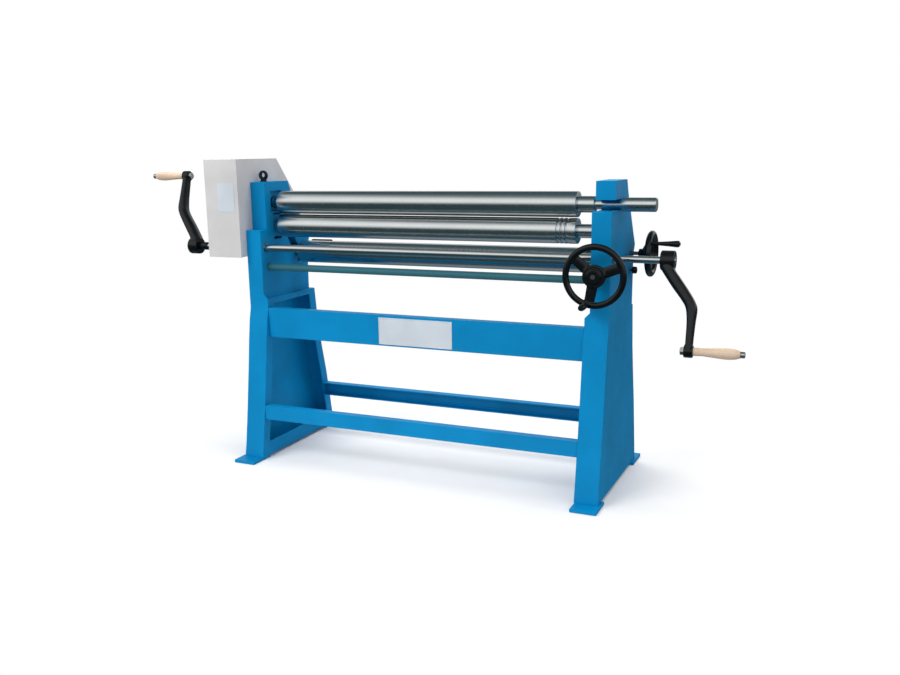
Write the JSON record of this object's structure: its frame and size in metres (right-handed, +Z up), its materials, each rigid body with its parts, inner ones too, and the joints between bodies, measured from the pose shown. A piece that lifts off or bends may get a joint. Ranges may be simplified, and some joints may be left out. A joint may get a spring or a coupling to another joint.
{
  "type": "slip roll machine",
  "caption": "Hand cranked slip roll machine with upper, lower and rear bending rolls on folded sheet legs, gear guard, two cranks and adjusting handwheels.",
  "frame": {"origin": "middle of the outer box, on the floor", "axes": "X along the rolls with +X towards the side handwheel, Y from the operator to the back, Z up"},
  "size_m": [2.5062, 0.698, 1.219],
  "materials": {
    "blue_paint": "semi-gloss blue enamel",
    "teal_paint": "blue-green enamel",
    "guard_grey": "light warm grey enamel",
    "blank_plate": "satin sheet",
    "ground_steel": "ground and polished",
    "dark_steel": "machined, oiled",
    "gear_steel": "cut teeth, oiled",
    "black_enamel": "black enamel on castings",
    "zinc": "zinc plated",
    "bronze": "bearing bronze",
    "beech": "lacquered turned beech"
  },
  "bodies": {
    "frame": {"left_leg": "blue_paint", "right_leg": "blue_paint", "left_front_foot": "blue_paint", "left_rear_foot": "blue_paint", "right_front_foot": "blue_paint", "right_rear_foot": "blue_paint", "apron_panel": "blue_paint", "apron_nameplate": "blank_plate", "lower_front_tie": "blue_paint", "lower_rear_tie": "blue_paint", "left_cheek": "blue_paint", "right_cheek": "blue_paint", "left_shaft_bush": "bronze", "right_shaft_bush": "bronze", "upper_gear_bush": "bronze", "lifting_eye": "black_enamel", "guard_back_plate": "guard_grey", "guard_cover": "guard_grey", "guard_data_plate": "blank_plate", "guard_screw_1": "zinc", "guard_screw_2": "zinc", "guard_screw_3": "zinc", "guard_screw_4": "zinc", "upper_left_housing": "blue_paint"},
    "drive": {"drive_shaft": "ground_steel", "drive_pinion": "gear_steel", "left_shaft_collar": "black_enamel", "crank_left": "black_enamel", "crank_right": "black_enamel", "grip_spindle_left": "zinc", "grip_spindle_right": "zinc"},
    "left_grip": {"crank_grip_left": "beech"},
    "right_grip": {"crank_grip_right": "beech"},
    "upper_gears": {"upper_drive_gear": "gear_steel", "upper_pair_gear": "gear_steel"},
    "swivel": {"upper_swivel_ring": "bronze"},
    "upper_roller": {"upper_roll": "ground_steel"},
    "lower_carriage": {"lower_block_left": "blue_paint", "lower_block_right": "blue_paint"},
    "lower_roller": {"lower_roll": "ground_steel", "lower_pair_gear": "gear_steel"},
    "front_cross": {"front_cross_shaft": "teal_paint", "lift_pinion_left": "gear_steel", "lift_pinion_right": "gear_steel", "worm_wheel": "bronze"},
    "front_wheel": {"worm_shaft": "dark_steel", "front_handwheel": "black_enamel"},
    "front_grip": {"front_wheel_grip": "black_enamel"},
    "rear_carriage": {"rear_block_left": "dark_steel", "rear_block_right": "dark_steel"},
    "rear_roller": {"rear_roll": "ground_steel"},
    "rear_cross": {"rear_cross_shaft": "dark_steel", "rear_cross_gear_left": "gear_steel", "rear_cross_gear_right": "gear_steel", "rear_shaft_sleeve": "black_enamel"},
    "left_rear_pinion": {"rear_lift_pinion_left": "gear_steel"},
    "side_wheel": {"rear_lift_pinion_right": "dark_steel", "side_handwheel": "black_enamel"},
    "side_grip": {"side_wheel_grip": "black_enamel"},
    "clamp": {"rear_clamp_knob": "black_enamel"}
  },
  "joints": [
    {"name": "upper_gear_spin", "type": "hinge", "parent": "frame", "child": "upper_gears", "pos_m": [-0.72085, -0.065, 1.0436], "axis": [1, 0, 0], "continuous": true},
    {"name": "crank_spin", "type": "hinge", "parent": "frame", "child": "drive", "pos_m": [0.04915, -0.155, 0.865], "axis": [1, 0, 0], "continuous": true},
    {"name": "left_grip_spin", "type": "hinge", "parent": "drive", "child": "left_grip", "pos_m": [-1.16485, -0.06958, 1.15154], "axis": [1, 0, 0], "continuous": true},
    {"name": "right_grip_spin", "type": "hinge", "parent": "drive", "child": "right_grip", "pos_m": [1.16415, -0.24042, 0.57846], "axis": [1, 0, 0], "continuous": true},
    {"name": "upper_roll_swing", "type": "hinge", "parent": "frame", "child": "swivel", "pos_m": [-0.65985, -0.065, 1.0436], "axis": [0, 0, -1], "range_deg": [0, 8]},
    {"name": "upper_roll_spin", "type": "hinge", "parent": "swivel", "child": "upper_roller", "pos_m": [0.04915, -0.065, 1.0436], "axis": [1, 0, 0], "continuous": true},
    {"name": "lower_roll_lift", "type": "slide", "parent": "frame", "child": "lower_carriage", "axis": [0, 0, 1], "range_m": [-0.008, 0.0016]},
    {"name": "lower_roll_spin", "type": "hinge", "parent": "lower_carriage", "child": "lower_roller", "pos_m": [0.04915, -0.065, 0.9495], "axis": [1, 0, 0], "continuous": true},
    {"name": "front_cross_spin", "type": "hinge", "parent": "frame", "child": "front_cross", "pos_m": [0.04915, -0.142, 0.786], "axis": [1, 0, 0], "range_deg": [-20, 4]},
    {"name": "front_wheel_spin", "type": "hinge", "parent": "frame", "child": "front_wheel", "pos_m": [0.75615, -0.249, 0.814], "axis": [0, -1, 0], "range_deg": [-460, 92]},
    {"name": "front_grip_spin", "type": "hinge", "parent": "front_wheel", "child": "front_grip", "pos_m": [0.73377, -0.295, 0.71705], "axis": [0, 1, 0], "continuous": true},
    {"name": "rear_roll_slide", "type": "slide", "parent": "frame", "child": "rear_carriage", "axis": [0, -0.565, 0.8251], "range_m": [-0.015, 0.08]},
    {"name": "rear_roll_spin", "type": "hinge", "parent": "rear_carriage", "child": "rear_roller", "pos_m": [0.04915, 0.0755, 0.829], "axis": [1, 0, 0], "continuous": true},
    {"name": "rear_cross_spin", "type": "hinge", "parent": "frame", "child": "rear_cross", "pos_m": [0.04915, 0.133, 0.862], "axis": [1, 0, 0], "range_deg": [-50, 262]},
    {"name": "left_pinion_spin", "type": "hinge", "parent": "frame", "child": "left_rear_pinion", "pos_m": [-0.68085, 0.098, 0.858], "axis": [-1, 0, 0], "range_deg": [-50, 262]},
    {"name": "side_wheel_spin", "type": "hinge", "parent": "frame", "child": "side_wheel", "pos_m": [0.82915, 0.098, 0.858], "axis": [-1, 0, 0], "range_deg": [-50, 262]},
    {"name": "side_grip_spin", "type": "hinge", "parent": "side_wheel", "child": "side_grip", "pos_m": [0.93515, 0.0413, 0.90073], "axis": [1, 0, 0], "continuous": true},
    {"name": "clamp_turn", "type": "hinge", "parent": "frame", "child": "clamp", "pos_m": [0.80315, 0.123, 0.793], "axis": [1, 0, 0], "range_deg": [0, 180]}
  ],
  "couplings": [
    {"joint": "crank_spin", "follows": "upper_gear_spin", "ratio": -4},
    {"joint": "upper_roll_spin", "follows": "upper_gear_spin", "ratio": 1},
    {"joint": "lower_roll_spin", "follows": "upper_gear_spin", "ratio": -1},
    {"joint": "front_cross_spin", "follows": "lower_roll_lift", "rad_per_m": 41.667},
    {"joint": "front_wheel_spin", "follows": "lower_roll_lift", "rad_per_m": 1000},
    {"joint": "rear_cross_spin", "follows": "rear_roll_slide", "rad_per_m": 56.818},
    {"joint": "left_pinion_spin", "follows": "rear_roll_slide", "rad_per_m": 56.818},
    {"joint": "side_wheel_spin", "follows": "rear_roll_slide", "rad_per_m": 56.818}
  ]
}
